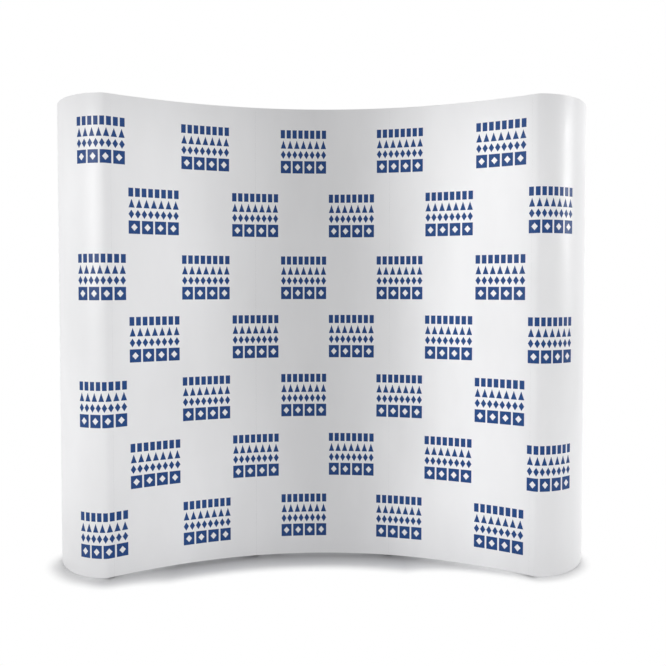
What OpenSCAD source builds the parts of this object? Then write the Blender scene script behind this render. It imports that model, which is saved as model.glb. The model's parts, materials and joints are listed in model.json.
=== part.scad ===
// Curved pop-up backwall, three bays wide and three bays high.
// A lattice of crossed tubes stands between four front and four rear columns of hubs.
// Folding channel bars clip over the hubs, and five printed film panels hang on the bars.
// Millimetres. +Z is up, the viewer stands on the -Y side and +X is to the viewer's right.
// The origin is on the floor, at the middle of the wall's width and depth.

/* [Wall] */
// Radius of the film's front face, seen from above
front_radius = 2200; // [1900:10:2600]
// Distance along the curve from one column to the next
panel_pitch = 665; // [560:5:800]
// Height of the film panels
film_h = 2225; // [1800:5:2700]
// Gap between the floor and the film
floor_gap = 8; // [4:1:14]
// Thickness of the film
film_t = 1.2; // [0.8:0.1:2]
// Gap between two neighbouring films
seam = 0.6; // [0.4:0.1:2]

/* [End caps] */
// Radius of the bend where the end film leaves the front bar
cap_bend_r = 50; // [40:1:90]
// Radius of the rounded end
cap_nose_r = 320; // [290:5:350]
// How far the rounded end turns before it tightens, in degrees
cap_nose_turn = 63; // [55:1:68]

/* [Tube lattice] */
// Distance from the front hub pins to the rear hub pins
frame_depth = 360; // [300:5:440]
// Outer diameter of a tube
tube_d = 13; // [11:0.1:15.6]
// Wall of a tube
tube_wall = 1; // [0.8:0.1:1.5]
// Free gap between two tubes where they cross
cross_gap = 1; // [0.6:0.1:2]
// Thickness of a tube's flattened end
tongue_t = 5; // [4:0.5:6]
// How much wider a tube's flattened end is than the tube
tongue_spread = 1; // [0.5:0.1:2]
// Diameter of the hub pins
pin_d = 4; // [3:0.5:5]
// Diameter of the rivet where two tubes cross
rivet_d = 4; // [3:0.5:5]

/* [Hubs] */
// Diameter of a hub's core
hub_d = 36; // [32:1:40]
// Thickness of a hub, from front to back
hub_t = 18; // [16:0.2:22]
// Distance from a hub's axis to its pins
pin_reach = 28; // [28:1:34]
// Thickness of a clevis cheek
cheek_t = 3.5; // [3:0.1:4]
// Chamfer round a hub's rims
hub_chamfer = 1.5; // [0.5:0.1:3]
// Depth of the ribbed recess in a hub's inner face
recess_depth = 3; // [1:0.5:5]
// Thickness of the ribs in the recess
rib_t = 1.8; // [1.2:0.1:3]
// Height of the lug that a channel bar clips over
lug_h = 40; // [30:1:44]
// Height of the top hub axes below the top of the film
top_hub_drop = 38; // [36:1:60]
// Height of the bottom hub axes above the floor
bottom_hub_z = 36; // [34:1:60]

/* [Channel bars] */
// Width of a bar
bar_w = 38; // [36:0.2:46]
// Depth of a bar
bar_depth = 14; // [12:0.5:18]
// Wall of a bar
bar_wall = 1.6; // [1.2:0.1:2]
// Width of the steel strip on a bar
strip_w = 30; // [28:1:34]
// Thickness of the steel strip
strip_t = 1.5; // [1:0.1:2]
// Distance of a bar's top below the top of the film
bar_top_drop = 12; // [8:1:16]
// Height of a bar's foot above the floor
bar_bottom_z = 16; // [16:1:24]
// Height of a bar's folding joint above the hub below it
fold_rise = 50; // [46:1:70]

/* [Panel fittings] */
// Width of a magnet tape
tape_w = 12.7; // [10:0.1:14]
// Thickness of a magnet tape and of a hanger
tape_t = 1.5; // [1:0.1:2]
// Height of a hanger
hanger_h = 28; // [20:1:34]
// Distance of a hanger's top below the top of the film
hanger_drop = 4; // [2:0.5:6]
// Distance from a film's edge to its tape and its hanger
edge_inset = 1; // [0.5:0.1:3]
// Height of a tape's foot above the film's foot
tape_rise = 12; // [6:1:30]
// Width of a hanger's hook
hook_w = 12; // [8:0.5:13]
// Depth that a hook reaches down behind the bar's face
hook_drop = 12; // [8:1:16]

/* [Lock arms] */
// Diameter of a lock arm
arm_d = 9; // [8:0.5:10]
// Thickness of its eye and its hook
arm_flat = 6; // [5:0.5:7]
// Distance from a hub's inner face to an arm's pin
arm_pin_rise = 11; // [10:1:14]
// Diameter of the bar that the hook drops over
catch_d = 5; // [4:0.5:6]

/* [Feet and light sockets] */
// Diameter of a foot
foot_d = 26; // [22:1:26]
// Height of a foot
foot_h = 14; // [10:1:15]
// Chamfer round a foot's rims
foot_chamfer = 1.5; // [0.5:0.1:2]
// Diameter of the stem inside a foot
stem_d = 14; // [12:1:16]
// Bore of a light socket
socket_d = 8; // [6:0.5:10]
// Depth of a light socket
socket_depth = 20; // [15:1:24]

/* [Hidden] */
$fn = 48;

bays = 3;
// Clearance of a pin in its bore, on the radius
pin_gap = 0.05;
// Clearance between parts that slide past each other
slide_gap = 0.3;
// Clearance of a loose fit, such as a bar over its lug
seat_gap = 0.3;
// Thickness of the adhesive between a film and what is stuck to its back
glue_t = 0.1;
eps = 0.01;

// Colours
film_colour = "whitesmoke";
plastic_colour = "dimgray";
metal_colour = "silver";
steel_colour = "darkgray";
rubber_colour = [0.1, 0.1, 0.1];

// Angle between two columns, and the angle of each column from the wall's middle
pitch_deg = panel_pitch / front_radius * 180 / PI;
function column_deg(c) = (c - bays / 2) * pitch_deg;
end_deg = column_deg(bays);
function arc_deg(length) = length / front_radius * 180 / PI;

// Layers from the film's front face to the plane of the front hub pins
hub_gap = 0.5;
tape_front = film_t + glue_t;
tape_back = tape_front + tape_t;
strip_front = tape_back + seat_gap;
bar_front = strip_front + strip_t;
bar_back = bar_front + bar_depth;
stack = bar_back + hub_gap + hub_t / 2;
front_pin_r = front_radius + stack;
rear_pin_r = front_pin_r + frame_depth;
cap_rear_r = rear_pin_r + stack;

// Heights
film_top = floor_gap + film_h;
bar_top = film_top - bar_top_drop;
row_pitch = (film_top - top_hub_drop - bottom_hub_z) / bays;
function row_z(r) = bottom_hub_z + r * row_pitch;
hanger_top = film_top - hanger_drop;
hanger_bottom = hanger_top - hanger_h;

// The end film, seen from above, with the arc's centre at the origin. It follows the
// front bar, bends, rounds the nose, tightens and runs flat over the rear bar.
grip_margin = 3;
bar_grip = bar_w / 2 - grip_margin;
grip_deg = end_deg + arc_deg(bar_grip);
function toward(h) = [sin(h), -cos(h)];
bend_centre = (front_radius + cap_bend_r) * [sin(grip_deg), cos(grip_deg)];
nose_centre = bend_centre + [0, cap_nose_r - cap_bend_r];
nose_end = nose_centre + cap_nose_r * toward(cap_nose_turn);
end_out = [sin(end_deg), cos(end_deg)];
end_along = [cos(end_deg), -sin(end_deg)];
tail_r = (cap_rear_r - nose_end * end_out) / (1 + cos(end_deg + cap_nose_turn));
tail_centre = nose_end - tail_r * toward(cap_nose_turn);
arc_step = 3;
function bow(centre, r, from, to) =
    let (n = ceil((to - from) / arc_step))
    [for (i = [1:n]) centre + r * toward(from + (to - from) * i / n)];
function cap_line(inset, start) = concat(
    [for (a = [start : (grip_deg - start) / 2 : grip_deg + eps])
        (front_radius + inset) * [sin(a), cos(a)]],
    bow(bend_centre, cap_bend_r - inset, -grip_deg, 0),
    bow(nose_centre, cap_nose_r - inset, 0, cap_nose_turn),
    bow(tail_centre, tail_r - inset, cap_nose_turn, 180 - end_deg),
    [(cap_rear_r - inset) * end_out - bar_grip * end_along]
);
function reversed(list) = [for (i = [len(list) - 1 : -1 : 0]) list[i]];

// Depth of the whole wall, from the end films to the backs of the middle rear hubs
wall_front = nose_centre[1] - cap_nose_r;
wall_back = rear_pin_r * cos(pitch_deg / 2)
    + max(pin_reach * sin(pitch_deg / 2) + hub_t / 2, foot_d / 2);
arc_centre_y = -(wall_front + wall_back) / 2;

// Tubes: the side offset at a crossing, and where a tube's full round part starts
tube_offset = (tube_d + cross_gap) / 2;
tongue_w = tube_d + tongue_spread;
neck = 22;
cone_l = 10;

// Places. In a column's frame -Y points outward from the lattice and +X along the wall.
module about_arc() { translate([0, arc_centre_y, 0]) children(); }
module at_front(c, z = 0) {
    about_arc() rotate([0, 0, -column_deg(c)]) translate([0, front_pin_r, z]) children();
}
module at_rear(c, z = 0) {
    about_arc() rotate([0, 0, -column_deg(c)]) translate([0, rear_pin_r, z])
        mirror([0, 1, 0]) children();
}
// A pin's place in plan: column c, a step along the wall, a radius
function plan_at(c, step, r) =
    let (a = column_deg(c))
    [r * sin(a) + step * cos(a), arc_centre_y + r * cos(a) - step * sin(a)];

// ---------- hubs ----------
slot_half = tongue_t / 2 + slide_gap;
slot_floor_gap = 1;
cheek_half = slot_half + cheek_t;
module clevis_outline() {
    translate([0, -hub_t / 2]) square([pin_reach, hub_t]);
    translate([pin_reach, 0]) circle(d = hub_t);
}
module clevis(spin) {
    translate([0, 0, spin * tube_offset]) difference() {
        linear_extrude(2 * cheek_half, center = true) clevis_outline();
        translate([pin_reach - tongue_w / 2 - slot_floor_gap, -hub_t, -slot_half])
            cube([hub_t + tongue_w, 2 * hub_t, 2 * slot_half]);
        translate([pin_reach, 0, 0])
            cylinder(r = pin_d / 2 + pin_gap, h = 4 * hub_t, center = true);
    }
}
// The round core, with its rims chamfered
module hub_core() {
    rim_r = hub_d / 2 - hub_chamfer;
    rim_y = hub_t / 2 - hub_chamfer;
    rotate([90, 0, 0]) rotate_extrude() polygon([
        [0, -hub_t / 2], [rim_r, -hub_t / 2], [hub_d / 2, -rim_y],
        [hub_d / 2, rim_y], [rim_r, hub_t / 2], [0, hub_t / 2]
    ]);
}
// What is cut from the inner face, which leaves a boss and four ribs between the clevises
recess_d = hub_d - 10;
boss_d = 9;
module hub_recess() {
    translate([0, hub_t / 2 - recess_depth, 0]) rotate([-90, 0, 0]) difference() {
        cylinder(d = recess_d, h = hub_t);
        cylinder(d = boss_d, h = recess_depth - slide_gap);
        for (a = [45, 135]) rotate([0, 0, a])
            translate([-hub_d / 2, -rib_t / 2, 0]) cube([hub_d, rib_t, recess_depth]);
    }
}
// A dish in the outer face of a hub that carries no bar
dish_depth = 1.5;
module hub_dish() {
    translate([0, dish_depth - hub_t / 2, 0]) rotate([90, 0, 0])
        cylinder(d1 = recess_d - 2 * dish_depth, d2 = recess_d, h = dish_depth);
}
lug_half = bar_w / 2 - bar_wall - seat_gap;
lug_corner = 3;
// Free space between a lug and the bar's face, where the panels' hooks reach down
hook_room = 2.3;
lug_front = stack - bar_front - bar_wall - hook_room;
nub_d = 5.6;
nub_out = 1;
nub_y = -(stack - bar_back + bar_depth / 2);
module lug() {
    translate([0, -hub_t / 2 + eps, 0]) rotate([90, 0, 0])
        linear_extrude(lug_front - hub_t / 2 + eps) offset(lug_corner, $fn = 24)
            square([2 * (lug_half - lug_corner), lug_h - 2 * lug_corner], center = true);
    // Snap nubs that click into the bar's side walls
    translate([0, nub_y, 0]) rotate([0, 90, 0])
        cylinder(d = nub_d, h = 2 * (lug_half + nub_out), center = true);
}
ear_t = 3;
arm_half = arm_flat / 2 + slide_gap;
arm_pin_y = hub_t / 2 + arm_pin_rise;
ear_half = 6;
module arm_ears() {
    for (s = [-1, 1]) translate([s * (arm_half + ear_t / 2), 0, 0]) rotate([0, 90, 0])
        linear_extrude(ear_t, center = true) {
            translate([-ear_half, hub_t / 2 - 1]) square([2 * ear_half, arm_pin_rise + 1]);
            translate([0, arm_pin_y]) circle(r = ear_half);
        }
}
module lock_frame() { rotate([0, 45, 0]) children(); }
module hub(col, row, spin, has_lug, lock = "none") {
    sides = [if (col < bays) 0, if (row < bays) 1, if (col > 0) 2, if (row > 0) 3];
    has_socket = row == bays && spin > 0;
    difference() {
        union() {
            hub_core();
            for (side = sides) rotate([0, -90 * side, 0]) clevis(spin);
            if (has_lug) lug();
            if (lock != "none") lock_frame() arm_ears();
            if (lock == "catch")
                lock_frame() translate([0, arm_pin_y, 0]) rotate([0, 90, 0])
                    cylinder(d = catch_d, h = 2 * arm_half + ear_t, center = true);
            if (has_socket) cylinder(d = 2 * socket_d, h = socket_top);
            if (row == 0) translate([0, 0, stem_bottom - bottom_hub_z])
                cylinder(d = stem_d, h = bottom_hub_z - stem_bottom);
        }
        if (lock == "none") hub_recess();
        if (!has_lug) hub_dish();
        if (lock == "pivot") lock_frame() translate([0, arm_pin_y, 0]) rotate([0, 90, 0])
            cylinder(r = pin_d / 2 + pin_gap, h = hub_d, center = true);
        if (has_socket) translate([0, 0, socket_top - socket_depth])
            cylinder(d = socket_d, h = socket_depth + 1);
    }
}
socket_top = 30;
stem_bottom = foot_h / 2;
function is_inner(i) = i > 0 && i < bays;
function is_outer(c) = c == 0 || c == bays;
function lock_of(c, r, kind) = is_inner(c) && is_inner(r) ? kind : "none";
module front_hubs(c) {
    color(plastic_colour) for (r = [0:bays])
        at_front(c, row_z(r)) hub(c, r, 1, true, lock_of(c, r, "catch"));
}
module rear_hubs(c) {
    color(plastic_colour) for (r = [0:bays])
        at_rear(c, row_z(r)) hub(c, r, -1, is_outer(c), lock_of(c, r, "pivot"));
}
module feet(rear) {
    color(rubber_colour) for (c = [0:bays])
        if (rear) at_rear(c) foot(); else at_front(c) foot();
}
module foot() {
    rim_r = foot_d / 2 - foot_chamfer;
    difference() {
        rotate_extrude() polygon([
            [0, 0], [rim_r, 0], [foot_d / 2, foot_chamfer],
            [foot_d / 2, foot_h - foot_chamfer], [rim_r, foot_h], [0, foot_h]
        ]);
        translate([0, 0, stem_bottom]) cylinder(d = stem_d + 2 * pin_gap, h = foot_h);
    }
}

// ---------- tubes ----------
module eye_end() {
    linear_extrude(tongue_t, center = true) {
        circle(d = tongue_w);
        translate([0, -tongue_w / 2]) square([neck + 1, tongue_w]);
    }
}
// The round part, with a cone at each end that leads into the flattened eye
cone_tip_r = tongue_t / 2 + 0.5;
module tube_round(length) {
    rotate([0, 90, 0]) rotate_extrude() polygon([
        [0, neck - cone_l], [cone_tip_r, neck - cone_l], [tube_d / 2, neck],
        [tube_d / 2, length - neck], [cone_tip_r, length - neck + cone_l],
        [0, length - neck + cone_l]
    ]);
}
// A tube from its eye at the origin to its eye at x = length, with its pins along Z
bore_from = neck + 3;
module tube(length, cross_at) {
    difference() {
        union() {
            eye_end();
            translate([length, 0, 0]) rotate([0, 0, 180]) eye_end();
            tube_round(length);
        }
        for (x = [0, length]) translate([x, 0, 0])
            cylinder(r = pin_d / 2 + pin_gap, h = 2 * tube_d, center = true);
        translate([cross_at, 0, 0])
            cylinder(r = rivet_d / 2 + pin_gap, h = 2 * tube_d, center = true);
        translate([bore_from, 0, 0]) rotate([0, 90, 0])
            cylinder(d = tube_d - 2 * tube_wall, h = length - 2 * bore_from);
    }
}
// Horizontal pairs: a plan view of one bay, mirrored about its middle
half_pitch = pitch_deg / 2;
function half_span(r) = r * sin(half_pitch) - pin_reach * cos(half_pitch);
function bay_r(r) = r * cos(half_pitch) + pin_reach * sin(half_pitch);
cross_share = half_span(front_pin_r) / (half_span(front_pin_r) + half_span(rear_pin_r));
cross_r = bay_r(front_pin_r) + cross_share * (bay_r(rear_pin_r) - bay_r(front_pin_r));
module laid(from, to, z) {
    step = to - from;
    length = norm(step);
    translate([from[0], from[1], z]) rotate([0, 0, atan2(step[1], step[0])])
        tube(length, cross_share * length);
}
module row_tubes(r) {
    color(metal_colour) for (c = [0 : bays - 1]) {
        laid(plan_at(c, pin_reach, front_pin_r), plan_at(c + 1, -pin_reach, rear_pin_r),
             row_z(r) + tube_offset);
        laid(plan_at(c + 1, -pin_reach, front_pin_r), plan_at(c, pin_reach, rear_pin_r),
             row_z(r) - tube_offset);
    }
}
// Upright pairs: both tubes rise through one bay in the column's own plane
rise = row_pitch - 2 * pin_reach;
upright_l = norm([frame_depth, rise]);
upright_deg = atan2(rise, frame_depth);
module upright(side, tilt) {
    translate([side * tube_offset, 0, 0]) rotate([90, 0, 90]) rotate([0, 0, tilt])
        tube(upright_l, upright_l / 2);
}
module column_tubes(c) {
    color(metal_colour) for (r = [0 : bays - 1]) {
        at_front(c, row_z(r) + pin_reach) upright(-1, upright_deg);
        at_front(c, row_z(r + 1) - pin_reach) upright(1, -upright_deg);
    }
}
// A pin with a head at one end, through a clevis, along Z
head_t = 1;
module pin(d, half) {
    translate([0, 0, -half]) cylinder(d = d, h = 2 * half + head_t / 2);
    translate([0, 0, half]) cylinder(d = 1.7 * d, h = head_t);
}
module hub_pins(spin, sides) {
    for (side = sides) rotate([0, -90 * side, 0])
        translate([pin_reach, 0, spin * tube_offset]) pin(pin_d, cheek_half);
}
module row_pins() {
    color(steel_colour) for (r = [0:bays], c = [0:bays]) {
        sides = [if (c < bays) 0, if (c > 0) 2];
        at_front(c, row_z(r)) hub_pins(1, sides);
        at_rear(c, row_z(r)) hub_pins(-1, sides);
    }
}
module column_pins() {
    color(steel_colour) for (r = [0:bays], c = [0:bays]) {
        sides = [if (r < bays) 1, if (r > 0) 3];
        at_front(c, row_z(r)) hub_pins(1, sides);
        at_rear(c, row_z(r)) hub_pins(-1, sides);
    }
}
module rivet() {
    half = tube_offset + tube_d / 2;
    cylinder(d = rivet_d, h = 2 * half + head_t, center = true);
    for (s = [-1, 1]) translate([0, 0, s * (half + head_t / 2)])
        cylinder(d = 2 * rivet_d, h = head_t, center = true);
}
module at_row_crossings() {
    for (r = [0:bays], c = [0 : bays - 1])
        about_arc() rotate([0, 0, -column_deg(c + 0.5)])
            translate([0, cross_r, row_z(r)]) children();
}
module at_column_crossings() {
    for (r = [0 : bays - 1], c = [0:bays])
        at_front(c, row_z(r + 0.5)) translate([0, frame_depth / 2, 0]) rotate([0, 90, 0]) children();
}
module row_rivets() { color(steel_colour) at_row_crossings() rivet(); }
module column_rivets() { color(steel_colour) at_column_crossings() rivet(); }
module washer() {
    difference() {
        cylinder(d = 2.5 * rivet_d, h = cross_gap, center = true);
        cylinder(r = rivet_d / 2 + pin_gap, h = 2 * cross_gap, center = true);
    }
}
module cross_washers() {
    color(plastic_colour) {
        at_row_crossings() washer();
        at_column_crossings() washer();
    }
}

// ---------- channel bars ----------
nub_gap = 0.2;
fold_gap = 0.8;
function fold_z(r) = row_z(r) + fold_rise;
function bar_from(s) = s == 0 ? bar_bottom_z : fold_z(s) + fold_gap / 2;
function bar_to(s) = s == bays - 1 ? bar_top : fold_z(s + 1) - fold_gap / 2;
module bar_profile() {
    difference() {
        square([bar_w, bar_depth]);
        translate([bar_wall, bar_wall]) square([bar_w - 2 * bar_wall, bar_depth]);
    }
}
module channel_bar() {
    difference() {
        for (s = [0 : bays - 1])
            translate([-bar_w / 2, -(stack - bar_front), bar_from(s)])
                linear_extrude(bar_to(s) - bar_from(s)) bar_profile();
        for (r = [0:bays]) translate([0, nub_y, row_z(r)]) rotate([0, 90, 0])
            cylinder(r = nub_d / 2 + nub_gap, h = 2 * bar_w, center = true);
    }
}
module bar_strips() {
    for (s = [0 : bays - 1])
        translate([-strip_w / 2, -(stack - strip_front), bar_from(s)])
            cube([strip_w, strip_t, bar_to(s) - bar_from(s)]);
}
module front_bar(c) { color(metal_colour) at_front(c) channel_bar(); }
module rear_bar(c) { color(metal_colour) at_rear(c) channel_bar(); }
module front_bar_strips() { color(steel_colour) for (c = [0:bays]) at_front(c) bar_strips(); }
module rear_bar_strips() { color(steel_colour) for (c = [0, bays]) at_rear(c) bar_strips(); }

// The folding joint: a moulded plug in each bar end, with knuckles on one pin
plug_h = 22;
knuckle_d = 8;
knuckle_y = -(stack - bar_back - 1);
knuckle_gap = 0.5;
middle_half = 6;
outer_half = lug_half - 1;
module knuckle(half, d = knuckle_d) {
    translate([0, knuckle_y, 0]) rotate([0, 90, 0]) cylinder(d = d, h = 2 * half, center = true);
}
module plug_block(s) {
    inside = stack - bar_front - bar_wall;
    translate([-lug_half, -inside, s > 0 ? fold_gap / 2 : -fold_gap / 2 - plug_h])
        cube([2 * lug_half, bar_depth - bar_wall, plug_h]);
}
module lower_plug() {
    difference() {
        union() {
            plug_block(-1);
            knuckle(middle_half);
        }
        difference() {
            knuckle(bar_w, knuckle_d + 2 * knuckle_gap);
            cube([2 * middle_half, 4 * stack, 4 * stack], center = true);
        }
        knuckle(bar_w, pin_d + 2 * pin_gap);
    }
}
module upper_plug() {
    difference() {
        union() {
            plug_block(1);
            knuckle(outer_half);
        }
        knuckle(middle_half + slide_gap, knuckle_d + 2 * knuckle_gap);
        knuckle(bar_w, pin_d + 2 * pin_gap);
    }
}
module fold_plugs() {
    for (r = [1 : bays - 1]) translate([0, 0, fold_z(r)]) {
        lower_plug();
        upper_plug();
    }
}
module fold_pins() {
    for (r = [1 : bays - 1]) translate([0, 0, fold_z(r)]) knuckle(outer_half, pin_d);
}
module front_fold_plugs() { color(plastic_colour) for (c = [0:bays]) at_front(c) fold_plugs(); }
module rear_fold_plugs() { color(plastic_colour) for (c = [0, bays]) at_rear(c) fold_plugs(); }
module front_fold_pins() { color(steel_colour) for (c = [0:bays]) at_front(c) fold_pins(); }
module rear_fold_pins() { color(steel_colour) for (c = [0, bays]) at_rear(c) fold_pins(); }

// ---------- panels ----------
// A curved strip between two angles, from depth d behind the film's face, t thick
module curved(from, to, d, t, z, h) {
    about_arc() rotate([0, 0, 90 - to]) rotate_extrude(angle = to - from, $fn = 360)
        translate([front_radius + d, z]) square([t, h]);
}
seam_deg = arc_deg(seam / 2);
inset_deg = arc_deg(edge_inset);
tape_gap = 0.8;
module panel_film(k) {
    color(film_colour)
        curved(column_deg(k) + seam_deg, column_deg(k + 1) - seam_deg, 0, film_t, floor_gap, film_h);
}
// A hook over the top of a bar's face, in the column's frame; side says which half of the bar
hook_t = 1.5;
hook_x = bar_w / 4 + 0.5;
module hook(side) {
    from = stack - tape_front;
    leg = stack - bar_front - bar_wall - slide_gap;
    translate([side * hook_x - hook_w / 2, 0, 0]) {
        translate([0, -from, bar_top]) cube([hook_w, from - leg + hook_t, hook_t]);
        translate([0, -leg, bar_top - hook_drop]) cube([hook_w, hook_t, hook_drop + hook_t]);
    }
}
module panel_hanger(k) {
    color(film_colour) {
        curved(column_deg(k) + inset_deg, column_deg(k + 1) - inset_deg, tape_front, tape_t,
               hanger_bottom, hanger_h);
        at_front(k) hook(1);
        at_front(k + 1) hook(-1);
    }
}
tape_bottom = floor_gap + tape_rise;
tape_h = hanger_bottom - tape_gap - tape_bottom;
module tape_on_arc(c, side) {
    width_deg = arc_deg(tape_w);
    from = side > 0 ? column_deg(c) + inset_deg : column_deg(c) - inset_deg - width_deg;
    curved(from, from + width_deg, tape_front, tape_t, tape_bottom, tape_h);
}
module panel_tapes(k) {
    color(rubber_colour) {
        tape_on_arc(k, 1);
        tape_on_arc(k + 1, -1);
    }
}
// The right end film, and its mirror image on the left
module on_side(side) { mirror([side < 0 ? 1 : 0, 0, 0]) children(); }
module wrapped(outer, inner, start, z, h) {
    about_arc() translate([0, 0, z]) linear_extrude(h)
        polygon(concat(cap_line(outer, start), reversed(cap_line(inner, start))));
}
module end_film(side) {
    color(film_colour) on_side(side) wrapped(0, film_t, end_deg + seam_deg, floor_gap, film_h);
}
module end_hanger(side) {
    color(film_colour) on_side(side) {
        wrapped(tape_front, tape_back, end_deg + inset_deg, hanger_bottom, hanger_h);
        at_front(bays) hook(1);
        at_rear(bays) hook(1);
    }
}
module end_tapes(side) {
    color(rubber_colour) on_side(side) {
        tape_on_arc(bays, 1);
        at_rear(bays) translate([-tape_w / 2, -(stack - tape_front), tape_bottom])
            cube([tape_w, tape_t, tape_h]);
    }
}

// ---------- lock arms ----------
// An arm lies between a rear hub's ears and the catch bar of the front hub before it
hook_lip = catch_d / 2 + 0.5;
hook_back = catch_d / 2 + 4.5;
catch_r = catch_d / 2 + 0.2;
arm_nose = 6;
arm_head = 16;
arm_lap = 4;
module arm_hook_outline() {
    nose_r = 2.5;
    difference() {
        translate([arm_pin_y, 0]) hull() {
            translate([arm_head - 1, -hook_lip]) square([1, hook_lip + hook_back]);
            translate([nose_r - arm_nose, nose_r - hook_lip]) circle(r = nose_r);
            translate([nose_r - arm_nose, hook_back - nose_r]) circle(r = nose_r);
        }
        translate([arm_pin_y, 0]) circle(r = catch_r);
        translate([arm_pin_y - catch_r, -arm_head]) square([2 * catch_r, arm_head]);
    }
}
pivot_y = frame_depth - arm_pin_y;
eye_d = arm_d + 1;
module arm_eye_outline() {
    difference() {
        union() {
            translate([pivot_y, 0]) circle(d = eye_d);
            translate([pivot_y - arm_head, -eye_d / 2]) square([arm_head, eye_d]);
        }
        translate([pivot_y, 0]) circle(r = pin_d / 2 + pin_gap);
    }
}
module lock_arm(c, r) {
    rod_from = arm_pin_y + arm_head - arm_lap;
    rod_to = pivot_y - arm_head + arm_lap;
    color(metal_colour) at_front(c, row_z(r)) lock_frame() {
        rotate([90, 0, 90]) linear_extrude(arm_flat, center = true) {
            arm_hook_outline();
            arm_eye_outline();
        }
        translate([0, rod_from, 0]) rotate([-90, 0, 0]) cylinder(d = arm_d, h = rod_to - rod_from);
    }
}
module lock_pins() {
    color(steel_colour) for (c = [1 : bays - 1], r = [1 : bays - 1])
        at_rear(c, row_z(r)) lock_frame() translate([0, arm_pin_y, 0]) rotate([0, 90, 0])
            pin(pin_d, arm_half + ear_t);
}

front_hubs(0);  // front_hubs_1
front_hubs(1);  // front_hubs_2
front_hubs(2);  // front_hubs_3
front_hubs(3);  // front_hubs_4
rear_hubs(0);  // rear_hubs_1
rear_hubs(1);  // rear_hubs_2
rear_hubs(2);  // rear_hubs_3
rear_hubs(3);  // rear_hubs_4
row_tubes(0);  // row_tubes_1
row_tubes(1);  // row_tubes_2
row_tubes(2);  // row_tubes_3
row_tubes(3);  // row_tubes_4
column_tubes(0);  // column_tubes_1
column_tubes(1);  // column_tubes_2
column_tubes(2);  // column_tubes_3
column_tubes(3);  // column_tubes_4
row_pins();
column_pins();
row_rivets();
column_rivets();
cross_washers();
front_bar(0);  // front_bar_1
front_bar(1);  // front_bar_2
front_bar(2);  // front_bar_3
front_bar(3);  // front_bar_4
rear_bar(0);  // rear_bar_left
rear_bar(3);  // rear_bar_right
front_fold_plugs();
front_fold_pins();
rear_fold_plugs();
rear_fold_pins();
front_bar_strips();
rear_bar_strips();
feet(false);  // front_feet
feet(true);  // rear_feet
panel_film(0);  // left_film
panel_film(1);  // centre_film
panel_film(2);  // right_film
end_film(-1);  // left_end_film
end_film(1);  // right_end_film
panel_hanger(0);  // left_hanger
panel_hanger(1);  // centre_hanger
panel_hanger(2);  // right_hanger
end_hanger(-1);  // left_end_hanger
end_hanger(1);  // right_end_hanger
panel_tapes(0);  // left_tapes
panel_tapes(1);  // centre_tapes
panel_tapes(2);  // right_tapes
end_tapes(-1);  // left_end_tapes
end_tapes(1);  // right_end_tapes
lock_arm(1, 1);  // lock_arm_lower_left
lock_arm(2, 1);  // lock_arm_lower_right
lock_arm(1, 2);  // lock_arm_upper_left
lock_arm(2, 2);  // lock_arm_upper_right
lock_pins();
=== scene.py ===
# %% [markdown]
# # A curved pop-up backwall
# Five white printed film panels hang by magnets on folding channel bars. The bars clip over
# a lattice of crossed tubes, which opens from a bundle into a curved wall of three bays.
# The lattice, bars and hubs come finished from CAD. This lesson gives each of them the
# surface of its real material, and makes the films, because a film's print is part of it.
# Everything is in metres. The viewer stands on the -Y side and +Z is up.

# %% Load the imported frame
import json
import math
import bmesh
import bpy
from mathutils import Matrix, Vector
from mathutils.kdtree import KDTree


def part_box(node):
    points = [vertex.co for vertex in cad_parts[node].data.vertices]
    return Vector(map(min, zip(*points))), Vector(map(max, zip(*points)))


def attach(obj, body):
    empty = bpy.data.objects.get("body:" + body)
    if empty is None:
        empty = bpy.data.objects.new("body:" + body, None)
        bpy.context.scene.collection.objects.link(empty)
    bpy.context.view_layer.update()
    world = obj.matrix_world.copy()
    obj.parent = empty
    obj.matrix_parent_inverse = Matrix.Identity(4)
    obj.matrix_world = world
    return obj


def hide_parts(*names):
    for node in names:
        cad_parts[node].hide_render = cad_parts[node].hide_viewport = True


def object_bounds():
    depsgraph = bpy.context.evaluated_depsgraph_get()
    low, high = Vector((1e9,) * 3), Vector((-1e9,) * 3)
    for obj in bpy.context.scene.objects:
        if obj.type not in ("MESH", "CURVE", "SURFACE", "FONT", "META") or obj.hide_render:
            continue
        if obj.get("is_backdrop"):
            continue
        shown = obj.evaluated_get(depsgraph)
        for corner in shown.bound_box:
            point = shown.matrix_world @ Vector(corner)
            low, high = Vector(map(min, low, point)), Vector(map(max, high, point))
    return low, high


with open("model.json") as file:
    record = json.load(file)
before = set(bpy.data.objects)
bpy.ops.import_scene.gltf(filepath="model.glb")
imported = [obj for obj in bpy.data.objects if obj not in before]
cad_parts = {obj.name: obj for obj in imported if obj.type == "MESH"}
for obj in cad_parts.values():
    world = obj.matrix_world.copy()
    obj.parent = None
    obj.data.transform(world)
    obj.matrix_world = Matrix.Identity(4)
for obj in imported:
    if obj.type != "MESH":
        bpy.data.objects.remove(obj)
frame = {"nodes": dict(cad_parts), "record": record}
cad_low, cad_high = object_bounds()
bpy.ops.object.select_all(action="DESELECT")
print("CAD nodes:", len(frame["nodes"]), "from", tuple(cad_low), "to", tuple(cad_high))

# %% [markdown]
# ## The camera
# The wall is seen from the front, from a little over half its height, with a wide lens.
# The ends of a concave wall stand nearer to the camera than its middle, and a wide lens
# makes that strong: the top edge dips and the bottom edge rises in the middle.
# The small shift stands for a picture that was cropped a little below the lens axis.

# %% Make the camera
CAMERA_PLACE = (0.0353, -2.7897, 1.3546)
PITCH_DOWN = 0.0232
TURN_RIGHT = 0.0061
FRAME_PIXELS = 666
FOCAL_PIXELS = 543.3
AXIS_ROW = 299.1

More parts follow.
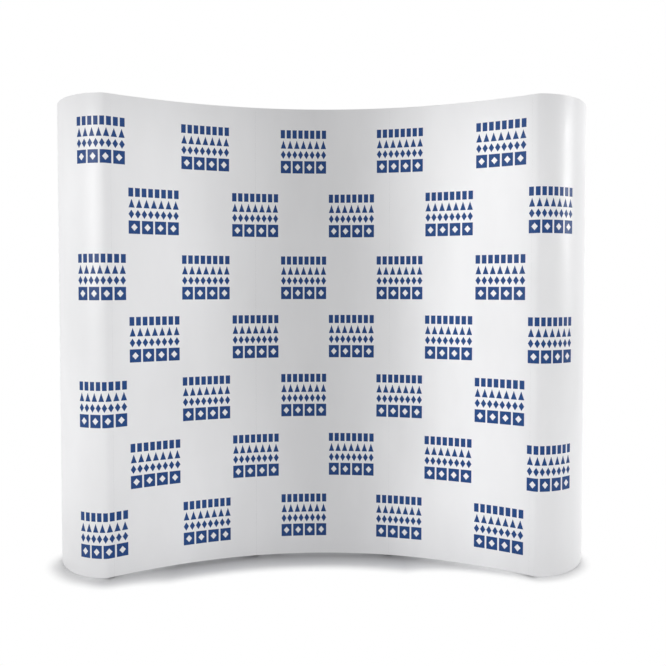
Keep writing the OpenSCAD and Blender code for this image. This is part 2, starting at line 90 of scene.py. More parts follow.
bpy.ops.object.camera_add(location=CAMERA_PLACE,
                          rotation=(math.pi / 2 - PITCH_DOWN, 0, -TURN_RIGHT))
camera = bpy.context.object
camera.name = "camera"
camera.data.sensor_width = 36
camera.data.lens = camera.data.sensor_width * FOCAL_PIXELS / FRAME_PIXELS
camera.data.shift_y = (AXIS_ROW - FRAME_PIXELS / 2) / FRAME_PIXELS
bpy.context.scene.camera = camera
print("Lens %.1f mm, shift %.3f" % (camera.data.lens, camera.data.shift_y))

# %% [markdown]
# ## Helpers for shader nodes
# Materials are built in code, one node at a time. These helpers keep that readable: a
# colour is written as a painter's sRGB tone, and a socket takes a value or another node's
# output in the same way.

# %% Helpers for colours and nodes
def paint(red, green, blue):
    """An sRGB colour of 0 to 255 as Blender's linear one."""
    def linear(value):
        value /= 255
        return value / 12.92 if value <= 0.04045 else ((value + 0.055) / 1.055) ** 2.4
    return (linear(red), linear(green), linear(blue), 1)


def feed(material, socket, value):
    """Gives a socket a value, or links another node's output to it."""
    if isinstance(value, bpy.types.NodeSocket):
        material.node_tree.links.new(value, socket)
    else:
        socket.default_value = value


def add_node(material, kind, settings=None, **sockets):
    node = material.node_tree.nodes.new("ShaderNode" + kind)
    for name, value in (settings or {}).items():
        setattr(node, name, value)
    for name, value in sockets.items():
        feed(material, node.inputs[name.replace("_", " ")], value)
    return node


def combine(material, operation, first, second):
    """A Math node of two inputs."""
    node = add_node(material, "Math", {"operation": operation})
    feed(material, node.inputs[0], first)
    feed(material, node.inputs[1], second)
    return node.outputs[0]


def connect(material, surface, **outputs):
    for name, output in outputs.items():
        feed(material, surface.inputs[name.replace("_", " ")], output)


def new_finish(name, metallic=0.0):
    """A new material, its Principled shader and its Object coordinates."""
    material = bpy.data.materials.new(name)
    material.use_nodes = True
    surface = material.node_tree.nodes["Principled BSDF"]
    surface.inputs["Metallic"].default_value = metallic
    return material, surface, add_node(material, "TexCoord").outputs["Object"]


print("Middle grey, 128 of 255, is %.3f in linear light" % paint(128, 128, 128)[0])

# %% [markdown]
# ## Helpers for surfaces
# A real surface is never one flat colour. Each finish here is built from three parts: soft
# clouds of two near tones, a roughness that wanders a little, and a fine grain as a bump
# whose depth is given in metres. Stretching the grain along one axis gives drawn metal.
# Object coordinates are used, so that the grain has its real size on every piece.

# %% Helpers for grain, tones and bumps
def grain_of(material, place, scale, detail=2, stretch=(1, 1, 1)):
    """Noise with a feature size of about 1 / scale metres, longer where stretch is small."""
    mapped = add_node(material, "Mapping", Vector=place, Scale=stretch)
    noise = add_node(material, "TexNoise", Vector=mapped.outputs[0], Scale=scale, Detail=detail)
    return noise.outputs["Fac"]


def tones(material, factor, *stops):
    """A colour ramp through (position, colour) stops."""
    ramp = add_node(material, "ValToRGB", Fac=factor)
    elements = ramp.color_ramp.elements
    while len(elements) < len(stops):
        elements.new(1)
    for element, (position, colour) in zip(elements, stops):
        element.position = position
        element.color = colour
    return ramp.outputs["Color"]


def spread(material, factor, low, high):
    """Maps the middle of a noise to a range of values."""
    return add_node(material, "MapRange", Value=factor, From_Min=0.3, From_Max=0.7,
                    To_Min=low, To_Max=high).outputs[0]


def bump_of(material, height, depth, below=None):
    """A bump whose full height is depth metres, on top of another bump."""
    bump = add_node(material, "Bump", Height=height, Distance=depth)
    bump.inputs["Strength"].default_value = 1.0
    if below is not None:
        feed(material, bump.inputs["Normal"], below)
    return bump.outputs["Normal"]


print("Grain of scale 1600 has features of about %.1f mm" % (1000 / 1600))

# %% [markdown]
# ## One recipe for the frame's finishes
# Metal, moulded nylon and rubber differ in tone, gloss, grain and stretch, but all are a
# fine grain over broader clouds. So one function makes them all. A third, paler stop in the
# tones gives rubber and glass-filled nylon their sparse light specks.

# %% The recipe
GRAIN_SHARE = 0.35


def make_finish(name, dark, light, rough, metallic=0.0, cloud=6, grain=1600, depth=2e-5,
                stretch=(1, 1, 1), specks=None):
    """dark and light are sRGB tones, rough is the roughness range, grain is 1 / size."""
    material, surface, place = new_finish(name, metallic)
    clouds = grain_of(material, place, cloud, 4, stretch)
    fine = grain_of(material, place, grain, 2, stretch)
    mix = combine(material, "ADD", combine(material, "MULTIPLY", fine, GRAIN_SHARE),
                  combine(material, "MULTIPLY", clouds, 1 - GRAIN_SHARE))
    stops = [(0.36, paint(*dark)), (0.64, paint(*light))]
    if specks:
        stops.append((0.72, paint(*specks)))
    wander = grain_of(material, place, cloud * 9, 3, stretch)
    connect(material, surface, Base_Color=tones(material, mix, *stops),
            Roughness=spread(material, wander, *rough), Normal=bump_of(material, fine, depth))
    return material


print("Grain makes up %d%% of a tone" % (100 * GRAIN_SHARE))

# %% [markdown]
# ## The frame's finishes
# Tubes and lock arms are satin anodised aluminium, the channel bars are drawn extrusions with
# faint upright lines, the strips are galvanised steel, and pins and rivets are zinc plated.
# Hubs, plugs and washers are black glass-filled nylon with a spark-eroded texture. Magnet
# tape and feet are black rubber, and the hangers are white extruded plastic. The record
# names a material slot for each node, and a finish is looked up by that name.

# %% Make and hand out the frame's finishes
UPRIGHT = (1, 1, 0.02)
finishes = {
    "tube": make_finish("satin_anodised_tube", (186, 189, 194), (208, 211, 215), (0.30, 0.42),
                        1.0, cloud=9, grain=2200, depth=1e-5),
    "lock_arm": make_finish("satin_lock_arm", (182, 184, 188), (204, 206, 209), (0.26, 0.38),
                            1.0, cloud=14, grain=2600, depth=8e-6),
    "bar": make_finish("drawn_channel_bar", (172, 175, 180), (198, 201, 205), (0.28, 0.44),
                       1.0, cloud=60, grain=1500, depth=1.2e-5, stretch=UPRIGHT),
    "strip": make_finish("galvanised_strip", (128, 131, 136), (166, 169, 172), (0.34, 0.52),
                         1.0, cloud=110, grain=900, depth=1.5e-5, stretch=(1, 1, 0.35)),
    "fastener": make_finish("zinc_plated_pin", (168, 168, 164), (204, 203, 197), (0.22, 0.40),
                            1.0, cloud=300, grain=3000, depth=6e-6),
    "moulding": make_finish("black_moulded_nylon", (22, 23, 25), (36, 37, 40), (0.42, 0.62),
                            cloud=22, grain=2400, depth=6e-5, specks=(52, 53, 56)),
    "magnet_tape": make_finish("magnetic_tape", (20, 20, 21), (33, 33, 35), (0.55, 0.72),
                               cloud=30, grain=1300, depth=3e-5, stretch=(1, 1, 0.12)),
    "foot": make_finish("moulded_rubber_foot", (17, 17, 18), (31, 31, 32), (0.66, 0.86),
                        cloud=45, grain=1900, depth=9e-5, specks=(58, 57, 55)),
    "hanger": make_finish("white_extruded_hanger", (214, 215, 214), (228, 229, 228),
                          (0.34, 0.48), cloud=12, grain=1200, depth=1.5e-5,
                          stretch=(0.05, 0.05, 1)),
}
slot_of = {part["node"]: part["material_slot"] for part in frame["record"]["subparts"]}
for node_name, node_object in frame["nodes"].items():
    slot = slot_of[node_name]
    if slot in finishes:
        node_object.data.materials.clear()
        node_object.data.materials.append(finishes[slot])
print("Finishes:", sorted(finishes))

# %% [markdown]
# ## The film's own finishes
# The film is printed on white plastic under a matt-satin laminate. The laminate has a faint
# leather-like emboss, and a film that was rolled for transport never hangs dead flat: soft
# upright waves stay in it. Both are bumps. The waves follow the film round its bends, so
# they read the film's own UV map, which is laid out flat in metres along the curve and up.
# The ink is a second material on the same face, with the same laminate over it. A dark print
# shows every reflection as a grey veil, so the ink's own gloss is held at half.

# %% Make the film's materials
EMBOSS_DEPTH = 1.2e-5


def make_film(name, dark, light, rough, wave_depth):
    material, surface, _ = new_finish(name)
    flat = add_node(material, "UVMap", {"uv_map": "flat"}).outputs["UV"]
    clouds = grain_of(material, flat, 3.5, 4, (1, 0.35, 1))
    waves = grain_of(material, flat, 5.5, 1, (1, 0.10, 1))
    emboss = grain_of(material, flat, 1500, 3)
    wander = grain_of(material, flat, 30, 3, (1, 0.3, 1))
    bent = bump_of(material, waves, wave_depth)
    connect(material, surface,
            Base_Color=tones(material, clouds, (0.32, paint(*dark)), (0.68, paint(*light))),
            Roughness=spread(material, wander, *rough),
            Normal=bump_of(material, emboss, EMBOSS_DEPTH, below=bent))
    return material


film_white = make_film("white_laminated_film", (232, 232, 233), (239, 239, 240),
                       (0.34, 0.42), 4e-3)
film_ink = make_film("blue_ink_under_laminate", (22, 61, 119), (28, 69, 129),
                     (0.32, 0.40), 4e-3)
film_ink.node_tree.nodes["Principled BSDF"].inputs["Specular IOR Level"].default_value = 0.25
film_back = make_film("grey_film_back", (206, 207, 208), (216, 217, 218), (0.5, 0.62), 2e-3)
print("Film:", film_white.name, film_ink.name, film_back.name)

# %% [markdown]
# ## The wall's line, seen from above
# The three middle films lie on one arc, whose centre lies in front of the wall. Each end
# film follows the last bar, bends away from it, rounds the nose, tightens and runs flat to
# the rear bar. The values are the CAD source's own, in metres, and each turn starts where
# the one before ends, with the same direction, so the line has no kink.

# %% Lay out the line
FILM_RADIUS = 2.2
PANEL_PITCH = 0.665
FILM_BOTTOM = 0.008
FILM_TOP = 2.233
FILM_THICK = 0.0012
SEAM = 0.0002
FRAME_DEPTH = 0.36
PIN_DEPTH = 0.0281
BEND_RADIUS = 0.05
NOSE_RADIUS = 0.32
NOSE_TURN = math.radians(63)
BAR_GRIP = 0.016
ARC_CENTRE_Y = -2.2686248

end_angle = 1.5 * PANEL_PITCH / FILM_RADIUS
grip_angle = end_angle + BAR_GRIP / FILM_RADIUS
rear_radius = FILM_RADIUS + 2 * PIN_DEPTH + FRAME_DEPTH


def outward(heading):
    """The film's outward direction in plan. Heading 0 faces the viewer, + turns to +X."""
    return Vector((math.sin(heading), -math.cos(heading)))


bend_centre = -(FILM_RADIUS + BEND_RADIUS) * outward(-grip_angle)
nose_centre = bend_centre + Vector((0, NOSE_RADIUS - BEND_RADIUS))
nose_end = nose_centre + NOSE_RADIUS * outward(NOSE_TURN)
end_out = Vector((math.sin(end_angle), math.cos(end_angle)))
tail_radius = (rear_radius - nose_end.dot(end_out)) / (1 + math.cos(end_angle + NOSE_TURN))
tail_centre = nose_end - tail_radius * outward(NOSE_TURN)
tail_turn = math.pi - end_angle - NOSE_TURN
tail_end = tail_centre + tail_radius * end_out
line_end = rear_radius * end_out - BAR_GRIP * Vector((math.cos(end_angle), -math.sin(end_angle)))
# Each turn: radius, first heading, angle, centre, and how many straight steps stand for it
turns = [
    (BEND_RADIUS, -grip_angle, grip_angle, bend_centre, 8),
    (NOSE_RADIUS, 0.0, NOSE_TURN, nose_centre, 42),
    (tail_radius, NOSE_TURN, tail_turn, tail_centre, 24),
]
print("Turns of radius", ["%.3f" % turn[0] for turn in turns], "m")

# %% [markdown]
# ## A place on the line
# On a real film a place is known by its distance along the film. One function turns that
# distance into a point in plan, so everything that follows the film can share it. Its
# result is printed beside the CAD film's box.

# %% From a distance to a point
arc_length = FILM_RADIUS * grip_angle
flat_length = (line_end - tail_end).length
half_length = arc_length + sum(radius * turn for radius, _, turn, _, _ in turns) + flat_length


def on_line(distance):
    """The point of the film's outer face at a distance along it from the wall's middle."""
    side, left = math.copysign(1, distance), abs(distance)
    if left <= arc_length:
        point = -FILM_RADIUS * outward(-left / FILM_RADIUS)
    else:
        left -= arc_length
        for radius, start, turn, centre, _ in turns:
            if left <= radius * turn:
                point = centre + radius * outward(start + left / radius)
                break
            left -= radius * turn
        else:
            point = tail_end + (line_end - tail_end) * min(left / flat_length, 1)
    return Vector((side * point.x, point.y + ARC_CENTRE_Y))


def along_line(steps):
    """Points from the left rear bar, round the front, to the right rear bar."""
    return [on_line(half_length * i / steps) for i in range(-steps, steps + 1)]


film_low, film_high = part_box("right_end_film")
line_points = along_line(1000)
print("Half length %.4f m, nose at x %.4f, CAD %.4f, front y %.4f, CAD %.4f" % (
    half_length, max(point.x for point in line_points), film_high.x,
    min(point.y for point in line_points), film_low.y))

# %% [markdown]
# ## Helpers for cutting
# A flat printed sheet is cut as one would cut it by hand: pick the faces, then slice them
# with a plane. Faces are picked by where their middle lies, because a number would change
# with each cut. Cutting only the picked faces keeps the rest of the sheet in large pieces.

# %% Pick and slice
def edit(item):
    bpy.ops.object.select_all(action="DESELECT")
    bpy.context.view_layer.objects.active = item
    item.select_set(True)
    bpy.ops.object.mode_set(mode="EDIT")
    bpy.ops.mesh.select_mode(type="FACE")


def pick(test):
    """Selects the faces of the object in edit mode whose middle passes a test."""
    mesh = bmesh.from_edit_mesh(bpy.context.object.data)
    bpy.ops.mesh.select_all(action="DESELECT")
    for face in mesh.faces:
        face.select_set(test(face.calc_center_median()))
    bmesh.update_edit_mesh(bpy.context.object.data)


def slice_picked(test, x=None, z=None):
    """Cuts the picked faces at an x or at a z."""
    pick(test)
    if x is not None:
        bpy.ops.mesh.bisect(plane_co=(x, 0, 0), plane_no=(1, 0, 0))
    else:
        bpy.ops.mesh.bisect(plane_co=(0, 0, z), plane_no=(0, 0, 1))


def slice_slanted(test, start, end):
    """Cuts the picked faces along the line between two (x, z) points."""
    pick(test)
    bpy.ops.mesh.bisect(plane_co=(start[0], 0, start[1]),
                        plane_no=(end[1] - start[1], 0, start[0] - end[0]))


def within(left, right, low, high):
    return lambda middle: left < middle.x < right and low < middle.z < high


def anywhere(middle):
    return True


print("Cuts are made in edit mode, now", bpy.context.mode)

# %% [markdown]
# ## Flat sheets
# The motif and the whole film both start as one flat face that stands up and faces the
# viewer. Its size and place are applied at once, so that every later cut can be given in
# plain metres. Each sheet carries the three film materials in the same order.

# %% Make a flat sheet
WHITE, INK, BACK = range(3)


def flat_sheet(name, width, height, z=0.0):
    bpy.ops.object.select_all(action="DESELECT")
    bpy.ops.mesh.primitive_plane_add(size=1, rotation=(math.pi / 2, 0, 0))
    item = bpy.context.object
    item.name = name
    item.scale = (width, height, 1)
    item.location = (0, 0, z)
    bpy.ops.object.transform_apply(location=True, rotation=True, scale=True)
    for material in (film_white, film_ink, film_back):
        item.data.materials.append(material)
    return item


TILE_W = 0.2385
TILE_H = 0.2620
tile = flat_sheet("motif_tile", TILE_W, TILE_H)
print("Tile:", tuple(tile.dimensions))

# %% [markdown]
# ## The rows of one motif
# The print repeats a block of three slim rows over one heavy row. The block is cut into the
# tile, whose border stays untouched, so that tiles and bare cells still meet corner to
# corner when they are joined.

# %% Cut the rows
BLOCK_W = 0.2250
BLOCK_H = 0.2130
SLIM_H = 0.0410
ROW_GAP = 0.0095
HEAVY_H = BLOCK_H - 3 * (SLIM_H + ROW_GAP)
BORDER = 0.005
SLIVER = 1e-6

half_w, half_h = BLOCK_W / 2, BLOCK_H / 2
edit(tile)
bpy.ops.mesh.select_all(action="SELECT")
bpy.ops.mesh.inset(thickness=(TILE_W - BLOCK_W) / 2, depth=0)
inner = within(-half_w, half_w, -TILE_H / 2 + BORDER, TILE_H / 2 - BORDER)
for level in (-half_h, half_h):
    slice_picked(inner, z=level)
rows = []
top = half_h
for row_height in (SLIM_H, SLIM_H, SLIM_H, HEAVY_H):
    rows.append((top - row_height, top))
    top -= row_height + ROW_GAP
for low, high in rows:
    for level in (low, high):
        if abs(level) < half_h - SLIVER:
            slice_picked(within(-half_w, half_w, -half_h, half_h), z=level)
print("Rows from", ["%.4f to %.4f" % row for row in rows])

# %% [markdown]
# ## Bars and triangles
# The rows hold plain shapes that read as print from afar and mean nothing: first a row of
# bars, then a row of triangles. A row is cut into equal units. A bar is a whole unit, and a
# triangle is what two slanted cuts leave in the middle of one.

# %% Cut the first two rows
def units(row, count, gap):
    """Cuts a row into equal units with gaps between them, and gives each one's sides."""
    low, high = rows[row]
    width = (BLOCK_W - (count - 1) * gap) / count
    sides = [(-half_w + i * (width + gap), -half_w + i * (width + gap) + width)
             for i in range(count)]
    for left, right in sides:
        for x in (left, right):
            if abs(x) < half_w - SLIVER:
                slice_picked(within(-half_w, half_w, low, high), x=x)
    return sides


def colour_in(material_index, test):
    """Gives the faces whose middle passes a test one of the film's materials."""
    pick(test)
    for face in bmesh.from_edit_mesh(tile.data).faces:
        if face.select:
            face.material_index = material_index


def in_units(sides, row):
    low, high = rows[row]
    return lambda m: low < m.z < high and any(left < m.x < right for left, right in sides)


bars = units(0, 8, 0.0080)
colour_in(INK, in_units(bars, 0))

triangles = units(1, 7, 0.0060)
low, high = rows[1]
for left, right in triangles:
    middle = (left + right) / 2
    unit = within(left, right, low, high)
    slice_slanted(unit, (left, low), (middle, high))
    slice_slanted(unit, (right, low), (middle, high))
# A corner that was cut off has its middle near the unit's side, a triangle near its middle
colour_in(INK, lambda m: low < m.z < high and any(
    abs(m.x - (left + right) / 2) < (right - left) / 8 for left, right in triangles))
print("Bars and triangles:", len(bars), len(triangles))

# %% [markdown]
# ## Diamonds and heavy squares
# The third row is a row of diamonds, and the heavy row is four squares with a light diamond
# inside. A diamond is cut by four slanted planes. Which faces belong to it is a sum of two
# shares: how far the face's middle lies across, and how far up, as a part of the reach.

# %% Cut the last two rows
def cut_diamonds(sides, row, reach_x, reach_z):
    """Cuts a diamond in the middle of each unit, and gives the test for its faces."""
    low, high = rows[row]
    level = (low + high) / 2
    for left, right in sides:
        middle = (left + right) / 2
        corners = [(middle - reach_x, level), (middle, level + reach_z),
                   (middle + reach_x, level), (middle, level - reach_z)]
        for start, end in zip(corners, corners[1:] + corners[:1]):
            slice_slanted(within(left, right, low, high), start, end)
    return lambda m: any(
        abs(m.x - (left + right) / 2) / reach_x + abs(m.z - level) / reach_z < 0.5
        for left, right in sides)


diamonds = units(2, 8, 0.0040)
unit_width = diamonds[0][1] - diamonds[0][0]
colour_in(INK, cut_diamonds(diamonds, 2, unit_width / 2, SLIM_H / 2))

WINDOW = (0.0140, 0.0170)
squares = units(3, 4, 0.0080)
colour_in(INK, in_units(squares, 3))
colour_in(WHITE, cut_diamonds(squares, 3, *WINDOW))
bpy.ops.object.mode_set(mode="OBJECT")
print("Motif tile:", len(tile.data.polygons), "faces")

# %% [markdown]
# ## Cells for the print
# The whole wall's film is first one flat sheet, as long as the line round both ends. It is
# sliced into cells of the print's size, and the cells that carry a motif are taken out.
# Motifs stand in seven rows, every second row one cell along, which leaves every other
# cell bare.

# %% Slice the sheet into cells
PRINT_START = -0.0950
ROW_HEIGHTS = (2.023, 1.706, 1.398, 1.106, 0.810, 0.511, 0.203)
PRINT_COLUMNS = 5
CELLS_EACH_SIDE = 8

sheet = flat_sheet("film_sheet", 2 * half_length, FILM_TOP - FILM_BOTTOM,
                   z=(FILM_TOP + FILM_BOTTOM) / 2)
edit(sheet)
for i in range(-CELLS_EACH_SIDE, CELLS_EACH_SIDE + 1):
    x = PRINT_START + (i + 0.5) * TILE_W
    if abs(x) < half_length:
        slice_picked(anywhere, x=x)
places = []
for row, row_z in enumerate(ROW_HEIGHTS):
    for side in (-1, 1):
        slice_picked(anywhere, z=row_z + side * TILE_H / 2)
    for column in range(PRINT_COLUMNS):
        step = 2 * (column - PRINT_COLUMNS // 2) + row % 2
        places.append((PRINT_START + step * TILE_W, row_z))
pick(lambda m: any(abs(m.x - x) < TILE_W / 4 and abs(m.z - z) < TILE_H / 4 for x, z in places))
bpy.ops.mesh.delete(type="FACE")
bpy.ops.object.mode_set(mode="OBJECT")
print("Cells left bare:", len(sheet.data.polygons), "and taken out:", len(places))

# %% [markdown]
# ## Motifs into their cells
# A copy of the tile goes into each empty cell. Then all are joined to the sheet, and points
# that lie on each other are merged, so that the film is one closed surface again.

# %% Fill the cells
MERGE_DISTANCE = 2e-5

bpy.ops.object.select_all(action="DESELECT")
copies = []
for x, z in places:
    tile.select_set(True)
    bpy.context.view_layer.objects.active = tile
    bpy.ops.object.duplicate(linked=False)
    bpy.ops.transform.translate(value=(x, 0, z))
    copies.append(bpy.context.object)
    bpy.ops.object.select_all(action="DESELECT")
for copy in copies + [sheet]:
    copy.select_set(True)
bpy.context.view_layer.objects.active = sheet
bpy.ops.object.join()
bpy.data.objects.remove(tile)
edit(sheet)
bpy.ops.mesh.select_all(action="SELECT")
bpy.ops.mesh.remove_doubles(threshold=MERGE_DISTANCE)
bpy.ops.object.mode_set(mode="OBJECT")
print("Printed sheet:", len(sheet.data.polygons), "faces,", len(copies), "motifs")

# %% [markdown]
# ## Cut the sheet for bending
# A flat face can't bend, so the sheet gets upright cuts: wide apart on the broad arc and
# close together round the tight turns. Then it is cut at the four seams between panels.
# Each strip of seam is deleted, and the sheet falls apart into its five films.

# %% Slice for the bends, and separate the films
ARC_STEPS = 22

bends = []
for panel in range(-1, 2):
    for i in range(1, ARC_STEPS):
        bends.append(PANEL_PITCH * (panel - 0.5 + i / ARC_STEPS))
seams = [PANEL_PITCH * (column - 1.5) for column in range(4)]
start = arc_length
for radius, _, turn, _, steps in turns:
    for i in range(steps + 1):
        bends += [start + radius * turn * i / steps, -start - radius * turn * i / steps]
    start += radius * turn
edit(sheet)
for x in sorted(set(bends)):
    slice_picked(anywhere, x=x)
for seam in seams:
    for x in (seam - SEAM / 2, seam + SEAM / 2):
        slice_picked(anywhere, x=x)
pick(lambda m: any(abs(m.x - seam) < SEAM / 2 for seam in seams))
bpy.ops.mesh.delete(type="FACE")
bpy.ops.mesh.select_all(action="SELECT")
bpy.ops.mesh.separate(type="LOOSE")
bpy.ops.object.mode_set(mode="OBJECT")
films = sorted(bpy.context.selected_objects, key=lambda o: o.data.vertices[0].co.x)
print("Films:", [len(film.data.polygons) for film in films])

# %% [markdown]
# ## Bend the films
# Now each point moves from its flat place to its place on the line. A curve modifier could
# do this too, but it works in the spline's own steps, while the film has to lie a tenth of
# a millimetre from its tapes. The flat places are kept first as the UV map. Then the faces
# are turned so that all of them point away from the frame.

# %% Bend
FRONT_ZONE = cad_low.y + 0.3

names = ["left_end", "left", "centre", "right", "right_end"]
for name, film in zip(names, films):
    film.name = name + "_printed_film"
    layer = film.data.uv_layers.new(name="flat")
    for loop in film.data.loops:
        co = film.data.vertices[loop.vertex_index].co
        layer.data[loop.index].uv = (co.x, co.z)
    for vertex in film.data.vertices:
        point = on_line(vertex.co.x)
        vertex.co = (point.x, point.y, vertex.co.z)
    edit(film)
    bpy.ops.mesh.select_all(action="SELECT")
    bpy.ops.mesh.normals_make_consistent(inside=False)
    bpy.ops.object.mode_set(mode="OBJECT")
    away_from_viewer = sum(face.normal.y * face.area for face in film.data.polygons
                           if face.center.y < FRONT_ZONE)
    if away_from_viewer > 0:
        film.data.flip_normals()
print("Bent:", [film.name for film in films])

# %% [markdown]
# ## Give the films their thickness
# The wall's thickness goes inwards, because the CAD line is the film's outer face. The
# inner face gets the grey back's material, and the cut edge stays white. Each film rides on
# its panel's body, so that it lifts with its hanger and tapes.

# %% Thicken, and seat on the frame
for name, film in zip(names, films):
    bpy.ops.object.select_all(action="DESELECT")
    bpy.context.view_layer.objects.active = film
    film.select_set(True)
    solid = film.modifiers.new("thickness", "SOLIDIFY")
    solid.thickness = FILM_THICK
    solid.offset = -1
    solid.use_even_offset = True
    solid.material_offset = BACK
    bpy.ops.object.modifier_apply(modifier=solid.name)
    bpy.ops.object.shade_smooth_by_angle(angle=math.radians(30))
    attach(film, name + "_panel")
    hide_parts(name + "_film")
    low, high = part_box(name + "_film")
    print(film.name, len(film.data.polygons), "faces, CAD", tuple(low), tuple(high), "film",
          tuple(min(v.co[i] for v in film.data.vertices) for i in range(3)),
          tuple(max(v.co[i] for v in film.data.vertices) for i in range(3)))

# %% [markdown]
# ## How near the floor is to the wall
# The wall stands on plain white paper, which shows as pure white away from the wall and as
# a pale surface beside it. The shadow under the film is partly real, from the lamps and the
# surroundings, and partly painted: near the film the paper's colour is darkened. The painted
# shadow's strength is one number: 1 at the film, falling to 0 a hand's width away. Under the
# frame, between film and rear hubs, it keeps a middle value, a painted shade. Two search
# trees give the distances.

# %% Distances on the floor
SHADOW_REACH = 0.20
# The painted shade's middle value under the frame, between film and rear bars
UNDER_FRAME = 0.50


def rear_line(steps):
    """Points along the rear hubs, from the right end to the left."""
    angles = [end_angle * (1 - 2 * i / steps) for i in range(steps + 1)]
    return [rear_radius * Vector((math.sin(a), math.cos(a))) + Vector((0, ARC_CENTRE_Y))
            for a in angles]


def tree_of(points):
    """A search tree that gives the distance to the nearest of some points."""
    tree = KDTree(len(points))
    for i, point in enumerate(points):
        tree.insert((point.x, point.y, 0), i)
    tree.balance()
    return tree


def reaches(tree, x, y):
    """The distance to the nearest point, counted in reaches of the shadow."""
    return tree.find((x, y, 0))[2] / SHADOW_REACH


film_tree = tree_of(along_line(600))
rear_tree = tree_of(rear_line(500))
outline = along_line(90) + rear_line(20)


def under_wall(x, y):
    """True between the film and the rear bars: counts the outline's crossings."""
    crossings = 0
    for start, end in zip(outline, outline[1:] + outline[:1]):
        if (start.y > y) != (end.y > y):
            crossings += x < start.x + (y - start.y) / (end.y - start.y) * (end.x - start.x)
    return crossings % 2 == 1


print("The middle of the wall lies under it:", under_wall(0, 0.1))

# %% [markdown]
# ## The painted shadow's form
# The painted shadow is darkest and widest in the hollow of the curve, where the wall shuts
# out more light. Towards the ends it gets lighter and narrower, more so on the right, where
# the light is stronger, and beside the rounded ends it dies away towards the rear.

# %% From a place to its painted shadow
# For each side: where the painted shadow starts to weaken, over how much, and how much
# lighter and narrower it is from there on
SHADOW_ENDS = {-1: (0.70, 0.38, 0.38, 0.70), 1: (0.40, 0.50, 0.50, 1.40)}
BESIDE_X = 1.15
BESIDE_START_Y = -0.20
BESIDE_OVER = 0.30


def clamp(value):
    return min(max(value, 0), 1)


def painted_shadow_at(x, y):
    begin, over, lighter, narrower = SHADOW_ENDS[math.copysign(1, x)]
    end = clamp((abs(x) - begin) / over)
    value = (1 - reaches(film_tree, x, y) * (1 + narrower * end)) * (1 - lighter * end)
    # Under the frame the painted shade keeps at least its middle value
    if under_wall(x, y):
        return max(value, UNDER_FRAME)
    beside = clamp((y - BESIDE_START_Y) / BESIDE_OVER) if abs(x) > BESIDE_X else 0
    # Behind the rear bars a painted shade fades out from the middle value
    behind = UNDER_FRAME - 0.5 * reaches(rear_tree, x, y)
    return max(value * (1 - beside), behind, 0)


print("Closeness just in front of the middle: %.2f, of the right end: %.2f" % (
    painted_shadow_at(0, on_line(0).y - 0.01), painted_shadow_at(1.1, film_low.y - 0.01)))

# %% [markdown]
# ## The floor
# The floor is one grid, fine near the wall, with the painted shadow's strength written on its
# points. Its outermost points are pulled out to the horizon, so a small grid still fills every
# view.

# %% Make the floor's mesh
FLOOR_CELL = 0.02
FLOOR_HALF = (1.80, 0.90)
HORIZON = 30
EDGE_MARGIN = 0.001

bpy.ops.object.select_all(action="DESELECT")
bpy.ops.mesh.primitive_grid_add(x_subdivisions=round(2 * FLOOR_HALF[0] / FLOOR_CELL),
                                y_subdivisions=round(2 * FLOOR_HALF[1] / FLOOR_CELL), size=2)
floor = bpy.context.object
floor.name = "paper_floor"
floor.scale = (FLOOR_HALF[0], FLOOR_HALF[1], 1)
bpy.ops.object.transform_apply(scale=True)
painted_shadow = floor.data.attributes.new("painted_shadow", "FLOAT", "POINT")
for vertex in floor.data.vertices:
    x, y, _ = vertex.co
    painted_shadow.data[vertex.index].value = painted_shadow_at(x, y)
    if abs(x) > FLOOR_HALF[0] - EDGE_MARGIN:
        vertex.co.x = math.copysign(HORIZON, x)
    if abs(y) > FLOOR_HALF[1] - EDGE_MARGIN:
        vertex.co.y = math.copysign(HORIZON, y)
floor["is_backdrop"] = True
print("Floor:", len(floor.data.vertices), "points,",
      sum(point.value > 0 for point in painted_shadow.data), "near the wall")

# %% [markdown]
# ## The floor's paper
# A white background could come from strong lamps, but those would wash out the wall. So the
# paper has a white light of its own, which only the camera and reflections see, and which
# fades in from the wall outwards. The paper's painted shadow, a darker colour near the film,
# is shown to them alone too, so that the film's foot still gets light from a pale floor.

# %% Make the floor's material
def seen_by_camera(material):
    """1 for camera rays and for what shows in metal or through glass."""
    light = add_node(material, "LightPath").outputs
    camera_or_metal = combine(material, "MAXIMUM", light["Is Camera Ray"],
                              light["Is Glossy Ray"])
    return combine(material, "MAXIMUM", camera_or_metal, light["Is Transmission Ray"])


paper, paper_surface, _ = new_finish("white_paper")
paper_surface.inputs["Roughness"].default_value = 0.9
paper_surface.inputs["Specular IOR Level"].default_value = 0.1
# close carries the painted shadow's strength from the floor's points
close = add_node(paper, "Attribute", {"attribute_name": "painted_shadow"}).outputs["Fac"]
seen = seen_by_camera(paper)
# Painted shadow: the base colour darkens from 236 to 147 near the film, for the camera and
# reflections only
connect(paper, paper_surface, Base_Color=tones(
    paper, combine(paper, "MULTIPLY", close, seen),
    (0.45, paint(236, 236, 237)), (0.57, paint(231, 231, 232)), (0.70, paint(214, 214, 215)),
    (0.82, paint(194, 194, 196)), (0.98, paint(147, 147, 149))))
fade = add_node(paper, "MapRange", {"interpolation_type": "SMOOTHSTEP"}, Value=close,
                From_Min=0.60, From_Max=0.16, To_Min=0.0, To_Max=1.0)
white_light = add_node(paper, "Emission", Color=(1, 1, 1, 1), Strength=1.0)
blend = add_node(paper, "MixShader")
for socket, output in zip(blend.inputs, (combine(paper, "MULTIPLY", fade.outputs[0], seen),
                                         paper_surface.outputs[0], white_light.outputs[0])):
    feed(paper, socket, output)
feed(paper, paper.node_tree.nodes["Material Output"].inputs[0], blend.outputs[0])
floor.data.materials.append(paper)
print("Paper fades over", SHADOW_REACH, "m")

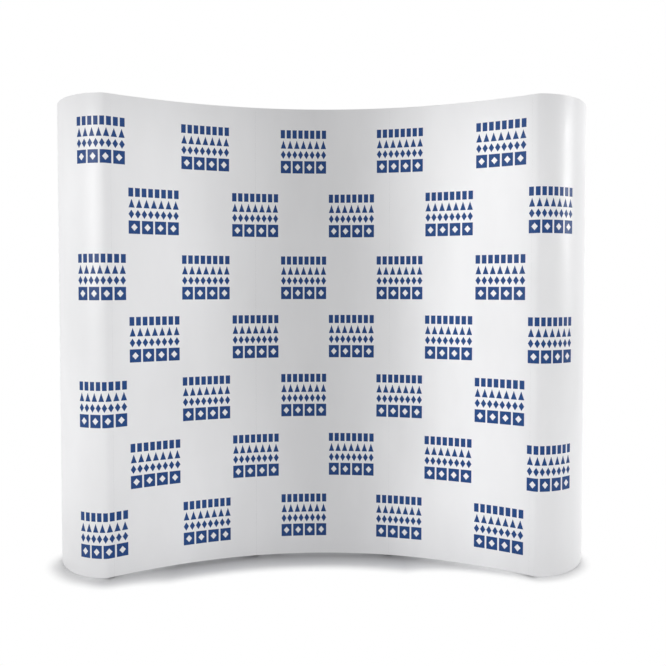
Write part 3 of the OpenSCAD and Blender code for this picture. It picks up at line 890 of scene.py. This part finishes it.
# %% [markdown]
# ## Lamps
# Four tall narrow boxes with honeycomb grids shape the curve: one for each rounded end, and
# two crossing beams that reach the outer panels only. A grid keeps a box's light in a narrow
# beam, which is the lamp's spread. The middle of the wall stays calmest. A softer box hangs
# behind the wall for the lattice.

# %% Hang the lamps
LAMP_Z = 1.6
AIM_Z = 1.15
TALL = (0.5, 2.4)
SLIM = (0.4, 2.4)


def soft_box(name, place, target, size, watts, spread_angle=180):
    bpy.ops.object.light_add(type="AREA", location=place)
    lamp = bpy.context.object
    lamp.name = name
    lamp.rotation_euler = (Vector(target) - Vector(place)).to_track_quat("-Z", "Y").to_euler()
    lamp.data.shape = "RECTANGLE"
    lamp.data.size, lamp.data.size_y = size
    lamp.data.energy = watts
    lamp.data.spread = math.radians(spread_angle)
    lamp.visible_camera = False


soft_box("left_end_box", (-2.6, -2.3, LAMP_Z), (-1.2, -0.1, AIM_Z), TALL, 2.64, 30)
soft_box("right_end_box", (3.2, -0.9, LAMP_Z), (1.22, -0.1, AIM_Z), SLIM, 1.90, 22)
soft_box("left_crossing_box", (-1.7, -2.5, LAMP_Z), (0.8, -0.15, AIM_Z), TALL, 2.67, 18)
soft_box("right_crossing_box", (1.7, -2.5, LAMP_Z), (-0.8, -0.15, AIM_Z), TALL, 1.10, 18)
soft_box("rear_soft_box", (0.6, 5.0, 4.2), (0, 0, 1.0), (4.0, 2.5), 160)

# %% [markdown]
# ## The surroundings
# An even pale grey all round fills the shadows. The camera and reflections see it as pure
# white, in the same way as the paper, so the background is white from every side.

# %% Light the surroundings
AMBIENT = 0.61

world = bpy.data.worlds.new("studio")
bpy.context.scene.world = world
world.use_nodes = True
ambient = world.node_tree.nodes["Background"]
ambient.inputs["Color"].default_value = (1, 1, 1, 1)
strength = add_node(world, "MapRange", Value=seen_by_camera(world), From_Min=0.0,
                    From_Max=1.0, To_Min=AMBIENT, To_Max=1.0)
feed(world, ambient.inputs["Strength"], strength.outputs[0])
bpy.context.scene.view_settings.view_transform = "Standard"
print("Surroundings at", AMBIENT)

# %% [markdown]
# ## Finish
# The model's box is printed.

# %% Print the model's box
low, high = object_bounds()
print("Visual box", tuple(low), tuple(high))
